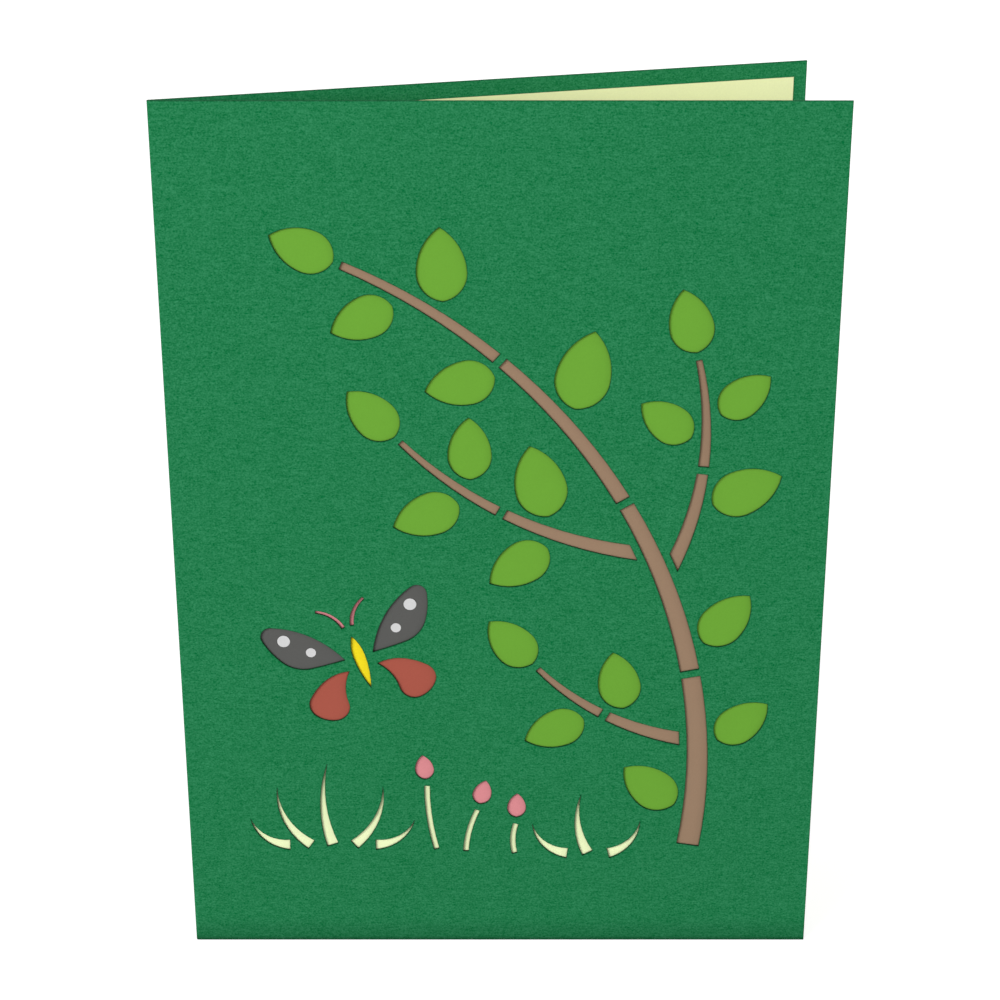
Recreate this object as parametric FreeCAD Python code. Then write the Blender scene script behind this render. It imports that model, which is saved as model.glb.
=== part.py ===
# Pop up card, portrait, standing on its bottom edges and opened a little like a book.
# One folded sheet makes the front and back of the cover. The front has windows cut
# through it, with one layer of coloured paper inlaid behind them, and a lining sheet is
# glued inside each half. Between the linings stands the pop up: a tree of slotted slices
# and a folded strip of grass, all parallel to one half of the cover or to the other.
# Sizes are in millimetres. +Z is up the card, the front of the cover faces -Y, and the
# origin is at the middle of the footprint, on the surface that the card stands on.
import FreeCAD
import Part
import math
import os
from collections import namedtuple

Vector = FreeCAD.Vector

# Cover: one sheet, scored and folded at the spine
CARD_WIDTH = 127.0
CARD_HEIGHT = 177.8
OPENING_ANGLE = 15.0
COVER_STOCK = 0.40
CREASE_RADIUS = 0.05

# Linings, and the layer of inlaid papers between the front cover and its lining
LINING_STOCK = 0.20
INLAY_STOCK = 0.20
LINING_EDGE_MARGIN = 2.7
LINING_END_MARGIN = 3.0
LINING_SPINE_MARGIN = 4.0

# Windows in the front cover, and the papers that show through them
WINDOW_BRIDGE = 1.5
INLAY_OVERLAP = 0.55
INLAY_CLEARANCE = 0.05

# Sprig: the main stem rises from the bottom right and arches over to the left
STEM_FOOT_FROM_EDGE = 25.0
STEM_FOOT_HEIGHT = 23.0
STEM_TIP_FROM_SPINE = 34.0
STEM_TIP_FROM_TOP = 30.8
STEM_BOW = 24.0
STEM_FOOT_WIDTH = 4.6
STEM_TIP_WIDTH = 1.6
TWIG_FOOT_WIDTH = 3.2
TWIG_TIP_WIDTH = 1.2
LOW_TWIG_LENGTH = 36.0
MIDDLE_TWIG_LENGTH = 54.0
OUTER_TWIG_LENGTH = 46.0
TWIG_BOW = 0.09
LEAF_LENGTH = 16.0
LEAF_SLENDERNESS = 0.66
LEAF_WIDEST = 0.38
LEAF_SPLAY = 54.0
LEAF_STALK = 1.9
TIP_LEAF_SHARE = 0.8

# Butterfly
BUTTERFLY_FROM_SPINE = 36.0
BUTTERFLY_HEIGHT = 65.0
BUTTERFLY_TILT = 18.0
BODY_LENGTH = 12.0
BODY_WIDTH = 2.4
WING_SPOT_RADIUS = 1.25
ANTENNA_FOOT_WIDTH = 0.8
ANTENNA_TIP_WIDTH = 0.6
ANTENNA_BOW = 0.8

# Tufts of grass with buds
BLADE_WIDTH = 2.4
BUD_LENGTH = 5.6
BUD_WIDTH = 3.8
STALK_WIDTH = 1.1
STALK_BOW = 0.5

# Pop up: card stock, slots, glue tabs
POPUP_STOCK = 0.25
SLOT_CLEARANCE = 0.15
TAB_LENGTH = 9.0

# Pop up tree: three slices each way, measured along each half from where the linings meet
SLICE_ROWS = {"inner_crown": -1, "trunk": 0, "outer_crown": 1}
TREE_DISTANCE = 38.0
SLICE_PITCH = 9.0
CROWN_HALF_WIDTH = 25.0
CROWN_HALF_HEIGHT = 36.0
CROWN_CENTRE_HEIGHT = 112.0
CROWN_LOBE_SIZE = 13.0
CROWN_LOBE_DIP = 0.09
CORE_HALF_WIDTH = 17.0
CORE_HALF_HEIGHT = 27.0
TRUNK_FOOT_WIDTH = 12.0
TRUNK_TOP_WIDTH = 8.0
GROUND_STRIP_FOOT = 8.0
GROUND_STRIP_TOP = 20.0
GROUND_STRIP_REACH = 12.0
CROWN_HOLE_LENGTH = 10.0
CROWN_HOLE_WIDTH = 4.0
CROWN_HOLE_RISE = 11.0
CROWN_HOLE_LIMIT = 0.72

# Pop up meadow: a strip folded round the tree
MEADOW_FROM_EDGE = 8.0
MEADOW_FOOT = 6.0
MEADOW_VALLEY = 15.0
MEADOW_TIP = 24.0
MEADOW_BLADE_PITCH = 5.5
MEADOW_BLADE_CURL = 0.12
# Blades in turn: where the tip stands over its foot, and share of the full rise
MEADOW_BLADES = ((0.2, 1.0), (0.75, 0.7), (0.5, 0.85))

# Points nearer to each other than this are one point
TOUCHING = 1e-6

# Sizes that follow from the ones above
ANGLE = math.radians(OPENING_ANGLE)
FOLD_OUTER_RADIUS = CREASE_RADIUS + COVER_STOCK
PANEL_WIDTH = CARD_WIDTH - FOLD_OUTER_RADIUS
ALONG_BACK = Vector(math.cos(ANGLE), math.sin(ANGLE), 0)
UP = Vector(0, 0, 1)
FRONT_LINING_FACE = -CREASE_RADIUS + INLAY_STOCK + LINING_STOCK
BACK_LINING_FACE = CREASE_RADIUS - LINING_STOCK
FOOTPRINT_DEPTH_MAX = PANEL_WIDTH * math.sin(ANGLE) + FOLD_OUTER_RADIUS * math.cos(ANGLE)
SPINE_TO_ORIGIN = Vector(
    (FOLD_OUTER_RADIUS - PANEL_WIDTH) / 2, (FOLD_OUTER_RADIUS - FOOTPRINT_DEPTH_MAX) / 2, 0
)
WEDGE_APEX = Vector(
    (FRONT_LINING_FACE * math.cos(ANGLE) - BACK_LINING_FACE) / math.sin(ANGLE),
    FRONT_LINING_FACE,
    0,
)
CROSSING_WIDTH = POPUP_STOCK * (1 + math.cos(ANGLE)) / math.sin(ANGLE)
MEADOW_RISE = (PANEL_WIDTH - MEADOW_FROM_EDGE - WEDGE_APEX.x) * math.tan(ANGLE / 2)
MEADOW_DISTANCE = (MEADOW_RISE + POPUP_STOCK) / math.sin(ANGLE)


# Flat shapes. A point on a sheet is (across, up), and a sheet lies in the plane y = 0.


def on_sheet(point):
    return Vector(point[0], 0, point[1])


def step(point, heading, distance):
    """The point a distance away along a heading in degrees, 0 across and 90 up."""
    turn = math.radians(heading)
    return (point[0] + distance * math.cos(turn), point[1] + distance * math.sin(turn))


def face_of(edges):
    return Part.Face(Part.Wire(Part.__sortEdges__(edges)))


def polygon(points):
    corners = [on_sheet(p) for p in points]
    return Part.Face(Part.makePolygon(corners + corners[:1]))


def rectangle(low, high):
    return polygon([low, (high[0], low[1]), high, (low[0], high[1])])


def disc(centre, radius):
    circle = Part.Circle(on_sheet(centre), Vector(0, 1, 0), radius)
    return Part.Face(Part.Wire(circle.toShape()))


def curved(points):
    """Edges through a row of points: each arc ends where the next one starts."""
    rows = [points[i:i + 3] for i in range(0, len(points) - 2, 2)]
    return [Part.Arc(*[on_sheet(p) for p in row]).toShape() for row in rows]


def rounded(points, heading):
    """The points with one more between each two, so that arcs through them run smoothly on."""
    row = [points[0]]
    for start, end in zip(points, points[1:]):
        run = math.dist(start, end)
        chord = math.degrees(math.atan2(end[1] - start[1], end[0] - start[0]))
        turn = math.remainder(heading - chord, 360)
        bow = run / 2 * math.tan(math.radians(turn) / 2)
        row += [step(step(start, chord, run / 2), chord + 90, bow), end]
        heading = chord - turn
    return row


def grown(faces, margin):
    """Flat shapes that reach a margin beyond the ones given, all round."""
    return [face.makeOffset2D(margin) for face in faces]


Arc = namedtuple("Arc", "start end bow")


def arc_frame(arc, fraction):
    """Point and heading on a circular arc, which bows to the left of start to end."""
    run = math.dist(arc.start, arc.end)
    chord = math.atan2(arc.end[1] - arc.start[1], arc.end[0] - arc.start[0])
    half_sweep = 2 * math.atan(2 * arc.bow / run)
    radius = run / (2 * math.sin(half_sweep))
    centre = step(arc.start, math.degrees(chord + half_sweep) - 90, radius)
    heading = math.degrees(chord + half_sweep * (1 - 2 * fraction))
    return step(centre, heading + 90, radius), heading


def arc_length(arc):
    run = math.dist(arc.start, arc.end)
    half_sweep = 2 * math.atan(2 * arc.bow / run)
    return run * half_sweep / math.sin(half_sweep)


def strip(arc, widths, between=(0.0, 1.0)):
    """A band along an arc, its width changing from the first of widths to the second."""
    left, right = [], []
    for along in (between[0], sum(between) / 2, between[1]):
        half = (widths[0] + (widths[1] - widths[0]) * along) / 2
        point, heading = arc_frame(arc, along)
        left.append(step(point, heading + 90, half))
        right.append(step(point, heading - 90, half))
    ends = [(left[0], right[0]), (left[2], right[2])]
    lines = [Part.makeLine(on_sheet(a), on_sheet(b)) for a, b in ends if math.dist(a, b) > TOUCHING]
    return face_of(curved(left) + curved(right) + lines)


def leaf(base, heading, length, width):
    """A leaf with its stalk end at base and its tip ahead: two arcs meet where it is widest."""
    widest, half = LEAF_WIDEST * length, width / 2
    edges = []
    for side in (1, -1):
        for end in (0, length):
            radius = ((end - widest) ** 2 + half ** 2) / (2 * half)
            turn = math.atan2(end - widest, radius - half) / 2
            middle = (widest + radius * math.sin(turn), half - radius * (1 - math.cos(turn)))
            points = [(widest, half), middle, (end, 0)]
            edges += curved([step(step(base, heading, x), heading + 90, side * y) for x, y in points])
    return face_of(edges)


# The picture on the front cover, drawn as the windows that are cut for it.


Twig = namedtuple("Twig", "arc widths bridges leaves")


def side_twig(stem, joint, side, angle, length, bridge, leaves):
    """A twig that leaves the middle line of the stem at an angle, bending as it goes."""
    foot, heading = arc_frame(stem, joint)
    arc = Arc(foot, step(foot, heading + side * angle, length), side * length * TWIG_BOW)
    return Twig(arc, (TWIG_FOOT_WIDTH, TWIG_TIP_WIDTH), (bridge,), leaves)


# Leaves of each twig: how far along it, which side (1 is left), and share of full length
STEM_LEAVES = (
    (0.06, 1, 0.85), (0.16, -1, 0.80), (0.30, -1, 0.85), (0.66, -1, 1.0),
    (0.76, 1, 0.85), (0.87, -1, 0.90), (0.92, 1, 0.80),
)
LOW_TWIG_LEAVES = ((0.46, -1, 0.80), (0.62, 1, 0.80))
MIDDLE_TWIG_LEAVES = ((0.36, 1, 0.85), (0.40, -1, 0.95), (0.70, 1, 0.85), (0.72, -1, 0.80))
OUTER_TWIG_LEAVES = ((0.38, -1, 0.90), (0.66, 1, 0.75), (0.76, -1, 0.75))


def sprig():
    """The main stem, which arches from bottom right to top left, and its side twigs."""
    foot = (CARD_WIDTH - STEM_FOOT_FROM_EDGE, STEM_FOOT_HEIGHT)
    tip = (STEM_TIP_FROM_SPINE, CARD_HEIGHT - STEM_TIP_FROM_TOP)
    stem = Arc(foot, tip, -STEM_BOW)
    return [
        Twig(stem, (STEM_FOOT_WIDTH, STEM_TIP_WIDTH), (0.26, 0.52, 0.77), STEM_LEAVES),
        side_twig(stem, 0.16, 1, 60, LOW_TWIG_LENGTH, 0.54, LOW_TWIG_LEAVES),
        side_twig(stem, 0.44, 1, 40, MIDDLE_TWIG_LENGTH, 0.56, MIDDLE_TWIG_LEAVES),
        side_twig(stem, 0.40, -1, 28, OUTER_TWIG_LENGTH, 0.52, OUTER_TWIG_LEAVES),
    ]


def whole_twigs():
    return [strip(twig.arc, twig.widths) for twig in sprig()]


def stem_windows():
    """Windows of the stem and twigs: lengths with a bridge of cover between each two."""
    beside_stem = grown(whole_twigs()[:1], WINDOW_BRIDGE)[0]
    windows = []
    for i, twig in enumerate(sprig()):
        gap = WINDOW_BRIDGE / arc_length(twig.arc) / 2
        starts = [0.0] + [place + gap for place in twig.bridges]
        ends = [place - gap for place in twig.bridges] + [1.0]
        pieces = [strip(twig.arc, twig.widths, between) for between in zip(starts, ends)]
        windows += pieces if i == 0 else [piece.cut(beside_stem).Faces[0] for piece in pieces]
    return windows


def leaves():
    """The leaves to each side of every twig, and one at its tip."""
    faces = []
    for twig in sprig():
        for along, side, share in twig.leaves:
            point, heading = arc_frame(twig.arc, along)
            half = (twig.widths[0] + (twig.widths[1] - twig.widths[0]) * along) / 2
            base = step(point, heading + side * 90, half + LEAF_STALK)
            length = LEAF_LENGTH * share
            faces.append(leaf(base, heading + side * LEAF_SPLAY, length, length * LEAF_SLENDERNESS))
        tip, heading = arc_frame(twig.arc, 1.0)
        length = LEAF_LENGTH * TIP_LEAF_SHARE
        base = step(tip, heading, WINDOW_BRIDGE)
        faces.append(leaf(base, heading, length, length * LEAF_SLENDERNESS))
    return faces


def on_butterfly(point, side):
    """A point given across and along the body, put where the butterfly is."""
    turn = math.radians(BUTTERFLY_TILT)
    across, along = side * point[0], point[1]
    return (
        BUTTERFLY_FROM_SPINE + across * math.cos(turn) - along * math.sin(turn),
        BUTTERFLY_HEIGHT + across * math.sin(turn) + along * math.cos(turn),
    )


# Right half of the butterfly, as points across from its middle line and along its body.
# Each wing starts at its root, at the heading given.
FORE_WING = ((2.9, 1.4), (7.6, 8.2), (14.6, 12.6), (17.2, 10.4), (14.9, 4.6), (9.8, 1.6), (2.9, 1.4))
FORE_WING_HEADING = 66
HIND_WING = (
    (2.9, -1.2), (8.6, -1.9), (12.3, -4.6), (12.6, -8.6), (9.0, -10.9), (5.4, -7.8), (2.9, -1.2),
)
HIND_WING_HEADING = 12
ANTENNA = ((0.9, 8.2), (5.0, 13.2))
# Wing spots: place, and share of the full radius
WING_SPOTS = (((13.2, 8.9), 1.0), ((8.9, 4.9), 0.8))


def wing_pair(points, heading):
    outline = rounded(points, heading)
    return [face_of(curved([on_butterfly(p, side) for p in outline])) for side in (-1, 1)]


def fore_wings():
    return wing_pair(FORE_WING, FORE_WING_HEADING)


def hind_wings():
    return wing_pair(HIND_WING, HIND_WING_HEADING)


def wing_spots():
    spots = [(on_butterfly(place, side), share) for side in (-1, 1) for place, share in WING_SPOTS]
    return [disc(place, WING_SPOT_RADIUS * share) for place, share in spots]


def butterfly_body():
    head = on_butterfly((0, BODY_LENGTH / 2), 1)
    return [leaf(head, BUTTERFLY_TILT - 90, BODY_LENGTH, BODY_WIDTH)]


def antennae():
    faces = []
    for side in (-1, 1):
        start, end = (on_butterfly(p, side) for p in ANTENNA)
        arc = Arc(start, end, ANTENNA_BOW * side)
        faces.append(strip(arc, (ANTENNA_FOOT_WIDTH, ANTENNA_TIP_WIDTH)))
    return faces


# Tufts: how far the foot stands from the foot of the stem, and its height, then the
# blades as offset along the ground, heading, length and bow
TUFTS = (
    (-73.0, 23.0, ((-8.6, 142, 10, 1.7), (-4.2, 116, 15, 2.0), (0.2, 92, 19, 1.4),
                   (4.6, 66, 15, -1.8), (9.0, 36, 10, -1.6))),
    (-20.5, 21.0, ((-4.2, 136, 10, 1.7), (0.0, 96, 14, 1.4), (4.2, 50, 10, -1.6))),
)
# Buds: foot of the stalk, measured in the same way, its heading and its length
BUD_STALKS = ((-51.5, 22.0, 97, 15), (-45.5, 21.5, 76, 10), (-35.5, 21.0, 88, 7))


def from_stem_foot(across, height):
    return (CARD_WIDTH - STEM_FOOT_FROM_EDGE + across, height)


def grass_blades():
    faces = []
    for across, height, blades in TUFTS:
        for offset, heading, length, bow in blades:
            start = from_stem_foot(across + offset, height)
            faces.append(strip(Arc(start, step(start, heading, length), bow), (BLADE_WIDTH, 0.0)))
    for across, height, heading, length in BUD_STALKS:
        start = from_stem_foot(across, height)
        arc = Arc(start, step(start, heading, length), STALK_BOW)
        faces.append(strip(arc, (STALK_WIDTH, STALK_WIDTH)))
    return faces


def buds():
    faces = []
    for across, height, heading, length in BUD_STALKS:
        base = step(from_stem_foot(across, height), heading, length + WINDOW_BRIDGE)
        faces.append(leaf(base, heading, BUD_LENGTH, BUD_WIDTH))
    return faces


# Sheets of the card


def on_front(faces, depth, thickness):
    """Flat shapes drawn on the front cover as slabs, starting at a depth from the fold."""
    moved = [face.translated(Vector(-FOLD_OUTER_RADIUS, depth, 0)) for face in faces]
    return [face.extrude(Vector(0, thickness, 0)) for face in moved]


def folded_section(panel, inner, outer):
    """Plan outline of a sheet folded round the spine, from its inner to its outer face."""
    def ring_point(radius, degrees):
        turn = math.radians(degrees)
        return Vector(radius * math.cos(turn), radius * math.sin(turn), 0)

    start, middle, end = -90, -180 + OPENING_ANGLE / 2, -270 + OPENING_ANGLE
    across = Vector(panel, 0, 0)
    out_front, out_back = ring_point(outer, start), ring_point(outer, end)
    in_front, in_back = ring_point(inner, start), ring_point(inner, end)
    along = ALONG_BACK * panel
    return face_of([
        Part.makeLine(out_front, out_front + across),
        Part.makeLine(out_front + across, in_front + across),
        Part.makeLine(in_front + across, in_front),
        Part.Arc(in_front, ring_point(inner, middle), in_back).toShape(),
        Part.makeLine(in_back, in_back + along),
        Part.makeLine(in_back + along, out_back + along),
        Part.makeLine(out_back + along, out_back),
        Part.Arc(out_back, ring_point(outer, middle), out_front).toShape(),
    ])


def make_cover():
    sheet = folded_section(PANEL_WIDTH, CREASE_RADIUS, FOLD_OUTER_RADIUS).extrude(UP * CARD_HEIGHT)
    windows = stem_windows() + leaves() + fore_wings() + hind_wings()
    windows += butterfly_body() + antennae() + grass_blades() + buds()
    return sheet.cut(on_front(windows, -FOLD_OUTER_RADIUS - CREASE_RADIUS, FOLD_OUTER_RADIUS))


def lining_outline():
    low = (LINING_SPINE_MARGIN, LINING_END_MARGIN)
    high = (CARD_WIDTH - LINING_EDGE_MARGIN, CARD_HEIGHT - LINING_END_MARGIN)
    return rectangle(low, high)


def make_front_lining():
    return on_front([lining_outline()], INLAY_STOCK - CREASE_RADIUS, LINING_STOCK)[0]


def make_back_lining():
    sheet = on_front([lining_outline()], -CREASE_RADIUS, LINING_STOCK)[0]
    return across_wedge(sheet, Vector(0, 0, 0))


def across_wedge(shape, apex):
    """The mirror image of a piece on the front half, on the back half of the card."""
    half = ANGLE / 2
    return shape.mirror(apex, Vector(math.sin(half), -math.cos(half), 0))


def inlay(faces):
    return Part.Compound(on_front(faces, -CREASE_RADIUS, INLAY_STOCK))


def behind(windows):
    """Papers that reach past their windows. Those that would meet are one piece of paper."""
    first, *others = grown(windows, INLAY_OVERLAP)
    return (first.fuse(others).removeSplitter() if others else first).Faces


def make_inlays():
    """One layer of papers: each colour lies in its own hole in the light green sheet."""
    motifs = {
        "stem_paper": whole_twigs(),
        "fore_wing_paper": fore_wings(),
        "hind_wing_paper": hind_wings(),
        "body_paper": butterfly_body(),
        "antenna_paper": antennae(),
        "bud_paper": buds(),
        "grass_paper": grass_blades(),
    }
    papers = {name: inlay(behind(windows)) for name, windows in motifs.items()}
    papers["wing_spot_paper"] = inlay(wing_spots())
    spot_holes = inlay(grown(wing_spots(), INLAY_CLEARANCE))
    papers["fore_wing_paper"] = papers["fore_wing_paper"].cut(spot_holes)
    holes = []
    for windows in motifs.values():
        holes += grown(windows, INLAY_OVERLAP + INLAY_CLEARANCE)
    leaf_sheet = on_front([lining_outline()], -CREASE_RADIUS, INLAY_STOCK)[0]
    papers["leaf_paper"] = leaf_sheet.cut(on_front(holes, -CREASE_RADIUS, INLAY_STOCK))
    return papers


# Pop up. A slice is drawn as seen from the front, from where its plane meets the back
# lining. The slices that start at the front lining are mirror images of these.


def lobed(half_width, half_height, middle):
    """A leafy outline: an ellipse whose edge is a row of equal bumps."""
    count = round(math.pi * (half_width + half_height) / CROWN_LOBE_SIZE)
    points = []
    for i in range(2 * count + 1):
        angle = math.pi * i / count
        reach = 1 if i % 2 else 1 - CROWN_LOBE_DIP
        across = middle[0] + reach * half_width * math.sin(angle)
        points.append((across, middle[1] + reach * half_height * math.cos(angle)))
    return face_of(curved(points))


def crossing_middle(distance):
    """Middle of where a slice crosses one that stands a distance along the other half."""
    return distance - CROSSING_WIDTH / 2


def slots(places, split, reach, opens_down):
    """Half slots at each place, from the split down or up to the edge of the slice."""
    half = CROSSING_WIDTH / 2 + SLOT_CLEARANCE
    gap = SLOT_CLEARANCE / 2
    low, high = (split - reach, split + gap) if opens_down else (split - gap, split + reach)
    middles = [crossing_middle(place) for place in places]
    return [rectangle((middle - half, low), (middle + half, high)) for middle in middles]


def slice_places():
    return {name: TREE_DISTANCE + row * SLICE_PITCH for name, row in SLICE_ROWS.items()}


def slab(face):
    """A drawn slice as card, its face to the back cover on the plane y = 0."""
    return face.extrude(Vector(0, -POPUP_STOCK, 0))


def glue_tab(low, high):
    """A tab folded back from the start of a slice to lie on the back lining."""
    tab = slab(rectangle((-TAB_LENGTH, low), (0, high)))
    tab.rotate(Vector(0, 0, 0), UP, OPENING_ANGLE)
    return tab


def at_distance(shape, distance):
    return shape.translated(WEDGE_APEX + ALONG_BACK * distance)


def leaf_holes(half_width, half_height):
    """Leaf shaped holes between the slots, in the middle part of a slice of the crown."""
    middle = crossing_middle(TREE_DISTANCE)
    holes = []
    for column, row in ((-1.5, 0), (-0.5, -1), (-0.5, 1), (0.5, -1), (0.5, 1), (1.5, 0)):
        across, up = column * SLICE_PITCH, row * CROWN_HOLE_RISE
        if math.hypot(across / half_width, up / half_height) < CROWN_HOLE_LIMIT:
            foot = (middle + across, CROWN_CENTRE_HEIGHT + up - CROWN_HOLE_LENGTH / 2)
            holes.append(leaf(foot, 90, CROWN_HOLE_LENGTH, CROWN_HOLE_WIDTH))
    return holes


def crown_face(offset):
    """One leafy slice of the crown, smaller the further it stands from the middle."""
    share = math.sqrt(1 - (offset / CROWN_HALF_WIDTH) ** 2)
    half_width, half_height = CROWN_HALF_WIDTH * share, CROWN_HALF_HEIGHT * share
    middle = (crossing_middle(TREE_DISTANCE), CROWN_CENTRE_HEIGHT)
    return lobed(half_width, half_height, middle).cut(leaf_holes(half_width, half_height))


def trunk_face():
    """Trunk slice: a strip along the ground from its tab, the trunk, and a branched top."""
    middle = crossing_middle(TREE_DISTANCE)
    ground = rectangle((0, GROUND_STRIP_FOOT), (middle + GROUND_STRIP_REACH, GROUND_STRIP_TOP))
    trunk = polygon([
        (middle - TRUNK_FOOT_WIDTH / 2, GROUND_STRIP_FOOT),
        (middle + TRUNK_FOOT_WIDTH / 2, GROUND_STRIP_FOOT),
        (middle + TRUNK_TOP_WIDTH / 2, CROWN_CENTRE_HEIGHT),
        (middle - TRUNK_TOP_WIDTH / 2, CROWN_CENTRE_HEIGHT),
    ])
    top = lobed(CORE_HALF_WIDTH, CORE_HALF_HEIGHT, (middle, CROWN_CENTRE_HEIGHT))
    return ground.fuse([trunk, top.cut(leaf_holes(CORE_HALF_WIDTH, CORE_HALF_HEIGHT))])


def make_tree():
    """Six slotted slices. Those parallel to the front cover have slots that open down."""
    places = slice_places()
    trunk_middle = (GROUND_STRIP_FOOT + CROWN_CENTRE_HEIGHT + CORE_HALF_HEIGHT) / 2
    parts = {}
    for side, opens_down in (("back", True), ("front", False)):
        for name, place in places.items():
            if name == "trunk":
                others = [places[other] for other in places if other != name]
                cuts = slots(others, CROWN_CENTRE_HEIGHT, CROWN_HALF_HEIGHT, opens_down)
                cuts += slots([place], trunk_middle, CARD_HEIGHT, opens_down)
                piece = slab(trunk_face().cut(cuts))
                piece = piece.fuse(glue_tab(GROUND_STRIP_FOOT, GROUND_STRIP_TOP))
            else:
                cuts = slots(places.values(), CROWN_CENTRE_HEIGHT, CARD_HEIGHT, opens_down)
                piece = slab(crown_face(place - TREE_DISTANCE).cut(cuts))
            piece = at_distance(piece.removeSplitter(), place)
            parts[f"{name}_slice_{side}"] = piece if side == "back" else across_wedge(piece, WEDGE_APEX)
    return parts


def grass_edge(length):
    """Flat shape of the meadow: straight foot, and blades of grass along the top."""
    count = round(length / MEADOW_BLADE_PITCH)
    pitch = length / count
    corners = [(0, MEADOW_VALLEY), (0, MEADOW_FOOT), (length, MEADOW_FOOT), (length, MEADOW_VALLEY)]
    edges = [Part.makeLine(on_sheet(a), on_sheet(b)) for a, b in zip(corners, corners[1:])]
    for i in range(count):
        lean, share = MEADOW_BLADES[i % len(MEADOW_BLADES)]
        tip = ((i + lean) * pitch, MEADOW_VALLEY + share * (MEADOW_TIP - MEADOW_VALLEY))
        for foot in ((i * pitch, MEADOW_VALLEY), ((i + 1) * pitch, MEADOW_VALLEY)):
            half_way = 0.5 + MEADOW_BLADE_CURL
            bend = (foot[0] + half_way * (tip[0] - foot[0]), (foot[1] + tip[1]) / 2)
            edges += curved([foot, bend, tip])
    return face_of(edges)


def make_meadow():
    """A strip from one lining to the other, folded where its two halves meet."""
    length = MEADOW_RISE / math.tan(ANGLE / 2) - MEADOW_DISTANCE * math.cos(ANGLE)
    half = slab(grass_edge(length)).fuse(glue_tab(MEADOW_FOOT, MEADOW_VALLEY))
    half = at_distance(half, MEADOW_DISTANCE)
    crease = WEDGE_APEX + ALONG_BACK * MEADOW_DISTANCE + Vector(length, -POPUP_STOCK, MEADOW_FOOT)
    bend = Part.makeCylinder(
        POPUP_STOCK, MEADOW_VALLEY - MEADOW_FOOT, crease, UP, 180 - OPENING_ANGLE
    )
    bend.rotate(crease, UP, OPENING_ANGLE - 90)
    return half.fuse([across_wedge(half, WEDGE_APEX), bend]).removeSplitter()


def main():
    pieces = {
        "cover": make_cover(),
        "front_lining": make_front_lining(),
        "back_lining": make_back_lining(),
        "meadow_strip": make_meadow(),
    }
    pieces.update(make_inlays())
    pieces.update(make_tree())
    os.makedirs("parts", exist_ok=True)
    for name, shape in pieces.items():
        shape = shape.translated(SPINE_TO_ORIGIN)
        shape.exportStep(f"parts/{name}.step")
        print(name, "solids", len(shape.Solids), "valid", shape.isValid(), "volume", round(shape.Volume, 2))
    return pieces


main()
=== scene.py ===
# A greeting card that stands open a little, dressed for its portrait.
# The frame holds every sheet of the card at its real size. This script gives each sheet
# its paper, and adds the floor, the light and the camera. Lengths are in metres.
import math
import bpy
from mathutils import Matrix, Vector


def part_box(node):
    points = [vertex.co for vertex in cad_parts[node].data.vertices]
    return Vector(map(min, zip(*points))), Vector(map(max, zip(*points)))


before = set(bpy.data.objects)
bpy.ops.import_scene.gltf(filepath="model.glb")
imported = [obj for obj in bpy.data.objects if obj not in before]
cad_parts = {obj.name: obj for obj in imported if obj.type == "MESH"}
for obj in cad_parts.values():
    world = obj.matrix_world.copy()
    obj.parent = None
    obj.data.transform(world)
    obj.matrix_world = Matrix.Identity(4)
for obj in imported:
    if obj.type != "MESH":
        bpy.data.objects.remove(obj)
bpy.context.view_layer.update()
MM = 0.001

# Camera, solved from the corners of the card in the photograph: how far back and how high it
# stands, its turn up from straight down in degrees, and its lens and sensor in millimetres
CAMERA_BACK = 0.42884
CAMERA_HEIGHT = 0.27513
CAMERA_TILT = 66.969
CAMERA_LENS = 83.73
SENSOR_WIDTH = 36.0

# Floor: how far it reaches, its grey for the light that it returns, and its grey and glow
# where it is seen, which add up to white outside the card's shadow
FLOOR_REACH = 3.0
FLOOR_GREY = 0.30
SHADOW_GREY = 0.435
FLOOR_LIFT = 0.78
# Sky: white where it is seen, and otherwise a light that fades from the horizon to the zenith
SKY_HORIZON = 1.058
SKY_ZENITH = 0.207
# Area lamps: where each one stands, its size across and its power in watts
LAMPS = {
    "key_light": ((-1.30, -1.30, 0.85), 1.0, 32.2),
    "fill_light": ((1.25, -0.30, 0.22), 0.5, 4.4),
    "back_light": ((0.60, 1.50, 0.28), 0.6, 11.5),
}

# Linear colours of the dyed cards, each from the dark of its hollows to the pale of its fibres
CARD_GREEN = ((0.0002, 0.1357, 0.0352), (0.0334, 0.2452, 0.1035))
CARD_LEAF = ((0.0957, 0.2696, 0.0287), (0.1522, 0.3652, 0.0539))
CARD_BROWN = ((0.1739, 0.1000, 0.0565), (0.2609, 0.1609, 0.0974))
CARD_GRASS = ((0.0209, 0.1696, 0.0504), (0.0417, 0.2522, 0.0913))
# Linear colours of the smooth papers
PAPER_CREAM = (0.8087, 0.8435, 0.4870)
PAPER_LEAF = (0.1470, 0.3670, 0.0378)
PAPER_BROWN = (0.3165, 0.2086, 0.1353)
PAPER_CHARCOAL = (0.1027, 0.1027, 0.0984)
PAPER_RED = (0.3887, 0.0939, 0.0643)
PAPER_YELLOW = (0.9300, 0.7420, 0.0180)
PAPER_PINK = (0.7085, 0.2602, 0.2811)
PAPER_GREY = (0.6435, 0.6435, 0.6435)
PAPER_PALE = (0.9000, 0.9900, 0.5800)

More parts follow.
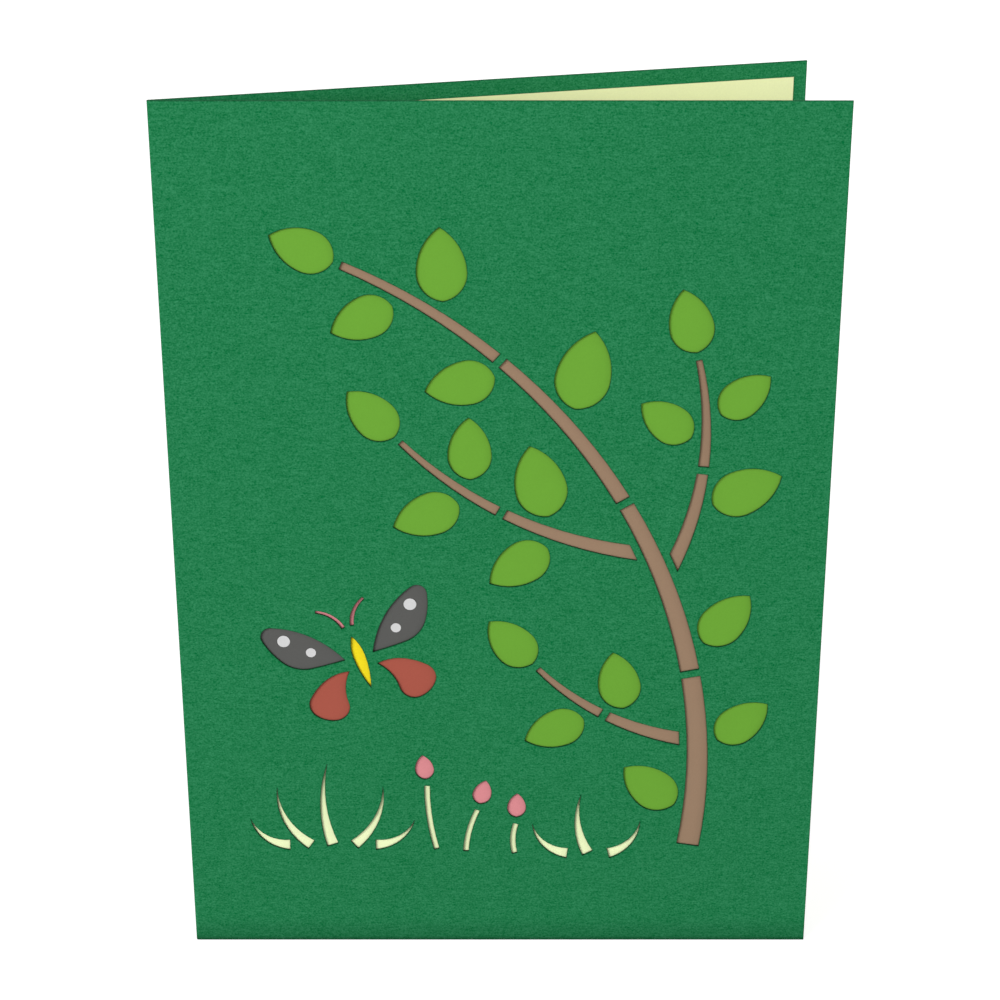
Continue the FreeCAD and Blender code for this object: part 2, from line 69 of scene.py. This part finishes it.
# Grain of the dyed cards: two fields of fine cells, thin fibres that lie across the card, and
# wide faint clouds. The weights say how much each one shows, and the details and CARD_NOISE
# how much finer noise the cells and the fibres hold.
CELL = 0.30 * MM
CELL_STRETCH = (1.2, 1.2, 1.0)
CELL_DETAIL = 1.0
FIBRE_CELL = 0.40 * MM
FIBRE_STRETCH = (4.5, 4.5, 0.8)
FIBRE_DETAIL = 2.0
CLOUD_CELL = 6.0 * MM
CARD_NOISE = 0.6
CELL_WEIGHT = 1.2
FIBRE_WEIGHT = 0.9
CLOUD_WEIGHT = 0.13
CARD_ROUGHNESS = 0.9
CARD_DEPTH = 0.03 * MM
# Grain of the smooth papers, which barely shows
PAPER_CLOUD_WEIGHT = 0.4
PAPER_CONTRAST = 0.10
PAPER_ROUGHNESS = 0.8
PAPER_DEPTH = 0.01 * MM
# Gloss of either kind
SHEET_SPECULAR = 0.05
# Shifts that set one field of noise apart from the next
SECOND_SHIFT = 6.1
FIBRE_SHIFT = 3.7
CARD_CLOUD_SHIFT = 9.1
PAPER_CLOUD_SHIFT = 5.3

# A cut edge is where a sheet hardly faces the front or the back: where it starts and ends
EDGE_FACING = (0.60, 0.85)
# Share of its colour that a smooth paper keeps on its cut edges
PAPER_EDGE_SHARE = 0.22
# Fades near the edges. A reach is how far off an edge or a wall still counts. A fade gives how
# open a point is at its dark end and at its pale end, and the share of the colour kept at each.
# Cut edges of the cards, scorched darker, with painted shade that makes them darker still down in a
# window than in the open
WALL_SHADE_REACH = 1.0 * MM
WALL_SCORCH_AND_PAINTED_SHADE = (0.60, 0.95, 0.22, 0.72)
# Rims of the cards, scorched by the cutter
SCORCH_REACH = 0.22 * MM
SCORCH_FADE = (0.55, 0.95, 0.45, 1.0)
# Painted shade on the papers, close to the wall of a window
CREVICE_SHADE_REACH = 0.32 * MM
CREVICE_PAINTED_SHADE_FADE = (0.35, 0.95, 0.45, 1.0)
# Rays that look for an edge or a wall from each point
EDGE_RAYS = 4
# Painted shade at the foot of the cover, which darkens softly and then at its very edge: how high
# each fade goes, and the share of the colour kept at the floor
FOOT_PAINTED_SHADE_FADES = ((6.5 * MM, 0.76), (1.1 * MM, 0.50))


class Link:
    """A number that varies over a surface: an output socket that Python can calculate with."""

    def __init__(self, finish, socket):
        self.finish = finish
        self.socket = socket

    def __add__(self, other):
        return self.finish.math("ADD", self, other)

    def __sub__(self, other):
        return self.finish.math("SUBTRACT", self, other)

    def __mul__(self, other):
        return self.finish.math("MULTIPLY", self, other)

    def __rsub__(self, other):
        return self.finish.math("SUBTRACT", other, self)

    __radd__ = __add__
    __rmul__ = __mul__


class Finish:
    """The nodes of one material, or of the world."""

    def __init__(self, owner):
        owner.use_nodes = True
        self.tree = owner.node_tree
        self.tree.nodes.clear()

    def node(self, kind, settings=None, inputs=None, output=0):
        """Adds a node: its settings first, then what its sockets hold or link to."""
        made = self.tree.nodes.new(kind)
        for name, value in (settings or {}).items():
            setattr(made, name, value)
        for name, value in (inputs or {}).items():
            if isinstance(value, Link):
                self.tree.links.new(value.socket, made.inputs[name])
            else:
                made.inputs[name].default_value = value
        return Link(self, made.outputs[output]) if len(made.outputs) else made

    def math(self, operation, *values):
        return self.node("ShaderNodeMath", {"operation": operation}, dict(enumerate(values)))

    def blend(self, share, first, second):
        """Colour that goes from the first to the second as share goes from 0 to 1."""
        # A Mix node's colours are its sockets 6 and 7, and the colour that it gives is its output 2
        inputs = {0: share, 6: (*first, 1.0), 7: (*second, 1.0)}
        return self.node("ShaderNodeMix", {"data_type": "RGBA"}, inputs, output=2)

    def tint(self, colour, share):
        """A colour made darker or lighter by a share of itself."""
        values = {0: colour, "Scale": share}
        return self.node("ShaderNodeVectorMath", {"operation": "SCALE"}, values)

    def rise(self, value, low, high, to_low=0.0, to_high=1.0):
        """Smooth step: to_low where value is under low, to_high where it is over high."""
        limits = {"Value": value, 1: low, 2: high, 3: to_low, 4: to_high}
        return self.node("ShaderNodeMapRange", {"interpolation_type": "SMOOTHSTEP"}, limits)

    def grain(self, cell, stretch=(1.0, 1.0, 1.0), detail=2.0, roughness=0.5, shift=0.0):
        """Noise about 0.5, in cells that are that long times the stretch along each axis."""
        point = self.node("ShaderNodeTexCoord", output="Object")
        scale = tuple(1 / (cell * along) for along in stretch)
        moved = {"Vector": point, "Scale": scale, "Location": (shift, shift, shift)}
        mapped = self.node("ShaderNodeMapping", None, moved)
        values = {"Vector": mapped, "Scale": 1.0, "Detail": detail, "Roughness": roughness}
        return self.node("ShaderNodeTexNoise", None, values)

    def flatness(self, at_edge=0.0):
        """1 on the sheets, which face the front or the back, and at_edge on their cut edges."""
        normal = self.node("ShaderNodeNewGeometry", output="Normal")
        backwards = self.node("ShaderNodeSeparateXYZ", None, {0: normal}, output="Y")
        return self.rise(self.math("ABSOLUTE", backwards), *EDGE_FACING, at_edge, 1.0)

    def height_up(self):
        """How far a point of the card is above the floor."""
        point = self.node("ShaderNodeTexCoord", output="Object")
        return self.node("ShaderNodeSeparateXYZ", None, {0: point}, output="Z")

    def openness(self, reach, inside=False):
        """1 in the open and less near a wall or, inside a sheet, near its cut edges."""
        settings = {"inside": inside, "only_local": inside, "samples": EDGE_RAYS}
        inputs = {"Distance": reach}
        return self.node("ShaderNodeAmbientOcclusion", settings, inputs, output="AO")

    def sheet(self, colour, height, roughness, depth):
        """The surface itself: matt, with the grain of its height pressed into it."""
        bump = {"Strength": 1.0, "Distance": depth, "Height": height}
        normal = self.node("ShaderNodeBump", None, bump)
        values = {
            "Base Color": colour,
            "Roughness": roughness,
            "Specular IOR Level": SHEET_SPECULAR,
            "Normal": normal,
        }
        surface = self.node("ShaderNodeBsdfPrincipled", None, values)
        self.node("ShaderNodeOutputMaterial", None, {"Surface": surface})


def new_finish(name):
    material = bpy.data.materials.new(name)
    return material, Finish(material)


def card_height(finish):
    """Grain of dyed card, about 0.5 with a spread of about 0.15."""
    first = finish.grain(CELL, CELL_STRETCH, CELL_DETAIL, CARD_NOISE)
    second = finish.grain(CELL, CELL_STRETCH, CELL_DETAIL, CARD_NOISE, SECOND_SHIFT)
    fibre = finish.grain(FIBRE_CELL, FIBRE_STRETCH, FIBRE_DETAIL, CARD_NOISE, FIBRE_SHIFT)
    cloud = finish.grain(CLOUD_CELL, shift=CARD_CLOUD_SHIFT)
    cells = (first + second - 1.0) * CELL_WEIGHT
    return 0.5 + cells + (fibre - 0.5) * FIBRE_WEIGHT + (cloud - 0.5) * CLOUD_WEIGHT


def dyed_card(name, ends, painted_foot_shade=False):
    """Card dyed right through, with the fine mottle of its fibres."""
    material, finish = new_finish(name)
    height = card_height(finish)
    flat = finish.flatness()
    # Cut edges: scorched darker everywhere, and painted shade darkens them further where a wall
    # stands close, down in a window.
    wall_scorch_and_painted_shade = finish.rise(finish.openness(WALL_SHADE_REACH), *WALL_SCORCH_AND_PAINTED_SHADE)
    scorch = finish.rise(finish.openness(SCORCH_REACH, inside=True), *SCORCH_FADE)
    share = (flat + (1.0 - flat) * wall_scorch_and_painted_shade) * scorch
    # Painted shade: the cover darkens towards its bottom edge, where it meets the floor.
    if painted_foot_shade:
        height_up = finish.height_up()
        for reach, low in FOOT_PAINTED_SHADE_FADES:
            share = share * finish.rise(height_up, 0.0, reach, low, 1.0)
    colour = finish.tint(finish.blend(height, *ends), share)
    finish.sheet(colour, height, CARD_ROUGHNESS, CARD_DEPTH)
    return material


def smooth_paper(name, colour):
    """Thin smooth paper of one colour."""
    material, finish = new_finish(name)
    fine = finish.grain(CELL)
    cloud = finish.grain(CLOUD_CELL, shift=PAPER_CLOUD_SHIFT)
    height = fine + (cloud - 0.5) * PAPER_CLOUD_WEIGHT
    edge = finish.flatness(PAPER_EDGE_SHARE)
    # Painted shade: a paper darkens close to the wall of its window.
    crevice_painted_shade = finish.rise(finish.openness(CREVICE_SHADE_REACH), *CREVICE_PAINTED_SHADE_FADE)
    share = edge * crevice_painted_shade * (1.0 + (height - 0.5) * PAPER_CONTRAST)
    finish.sheet(finish.tint(colour, share), height, PAPER_ROUGHNESS, PAPER_DEPTH)
    return material


FINISHES = {
    "cover": dyed_card("cover_card", CARD_GREEN, painted_foot_shade=True),
    "front_lining": smooth_paper("lining_paper", PAPER_CREAM),
    "leaf_paper": smooth_paper("leaf_sheet", PAPER_LEAF),
    "stem_paper": smooth_paper("bark_sheet", PAPER_BROWN),
    "fore_wing_paper": smooth_paper("charcoal_sheet", PAPER_CHARCOAL),
    "hind_wing_paper": smooth_paper("red_sheet", PAPER_RED),
    "body_paper": smooth_paper("yellow_sheet", PAPER_YELLOW),
    "bud_paper": smooth_paper("pink_sheet", PAPER_PINK),
    "wing_spot_paper": smooth_paper("grey_sheet", PAPER_GREY),
    "grass_paper": smooth_paper("pale_sheet", PAPER_PALE),
    "meadow_strip": dyed_card("grass_card", CARD_GRASS),
    "inner_crown_slice_back": dyed_card("crown_card", CARD_LEAF),
    "trunk_slice_back": dyed_card("trunk_card", CARD_BROWN),
}
SAME_PAPER = {
    "back_lining": "front_lining",
    "antenna_paper": "bud_paper",
    "inner_crown_slice_front": "inner_crown_slice_back",
    "outer_crown_slice_back": "inner_crown_slice_back",
    "outer_crown_slice_front": "inner_crown_slice_back",
    "trunk_slice_front": "trunk_slice_back",
}
for name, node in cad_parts.items():
    for held in node.material_slots:
        held.material = FINISHES[SAME_PAPER.get(name, name)]


def seen_rays(finish):
    """1 for what the camera sees, straight, in a gloss or through glass, and 0 for other light."""
    camera, glossy, through = (
        finish.node("ShaderNodeLightPath", output=ray)
        for ray in ("Is Camera Ray", "Is Glossy Ray", "Is Transmission Ray")
    )
    return finish.math("MAXIMUM", finish.math("MAXIMUM", camera, glossy), through)


def make_sky():
    world = bpy.data.worlds.new("sky")
    bpy.context.scene.world = world
    finish = Finish(world)
    direction = finish.node("ShaderNodeTexCoord", output="Generated")
    height = finish.node("ShaderNodeSeparateXYZ", None, {0: direction}, output="Z")
    glow = finish.rise(height, 0.0, 1.0, SKY_HORIZON, SKY_ZENITH)
    seen = seen_rays(finish)
    strength = seen + (1.0 - seen) * glow
    sky = {"Color": (1.0, 1.0, 1.0, 1.0), "Strength": strength}
    background = finish.node("ShaderNodeBackground", None, sky)
    finish.node("ShaderNodeOutputWorld", None, {"Surface": background})


def make_floor():
    """White to the camera, apart from the card's shadow, and grey to the light it returns."""
    reach = FLOOR_REACH
    corners = [(-reach, -reach, 0), (reach, -reach, 0), (reach, reach, 0), (-reach, reach, 0)]
    mesh = bpy.data.meshes.new("floor")
    mesh.from_pydata(corners, [], [(0, 1, 2, 3)])
    floor = bpy.data.objects.new("floor", mesh)
    bpy.context.scene.collection.objects.link(floor)
    material, finish = new_finish("pale_floor")
    plain, bright = (
        finish.node("ShaderNodeBsdfDiffuse", None, {"Color": (grey, grey, grey, 1.0)})
        for grey in (FLOOR_GREY, SHADOW_GREY)
    )
    lift = finish.node("ShaderNodeEmission", None, {"Strength": FLOOR_LIFT})
    shown = finish.node("ShaderNodeAddShader", None, {0: bright, 1: lift})
    mixed = {0: seen_rays(finish), 1: plain, 2: shown}
    surface = finish.node("ShaderNodeMixShader", None, mixed)
    finish.node("ShaderNodeOutputMaterial", None, {"Surface": surface})
    mesh.materials.append(material)


def make_lamps():
    low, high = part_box("cover")
    for name, (place, size, power) in LAMPS.items():
        lamp = bpy.data.lights.new(name, "AREA")
        lamp.size = size
        lamp.energy = power
        light = bpy.data.objects.new(name, lamp)
        bpy.context.scene.collection.objects.link(light)
        light.location = place
        towards_card = (low + high) / 2 - light.location
        light.rotation_euler = towards_card.to_track_quat("-Z", "Y").to_euler()


def make_camera():
    data = bpy.data.cameras.new("portrait")
    data.lens = CAMERA_LENS
    data.sensor_width = SENSOR_WIDTH
    camera = bpy.data.objects.new("portrait", data)
    bpy.context.scene.collection.objects.link(camera)
    camera.location = (0.0, -CAMERA_BACK, CAMERA_HEIGHT)
    camera.rotation_euler = (math.radians(CAMERA_TILT), 0.0, 0.0)
    bpy.context.scene.camera = camera


make_sky()
make_floor()
make_lamps()
make_camera()
bpy.context.scene.view_settings.view_transform = "Standard"
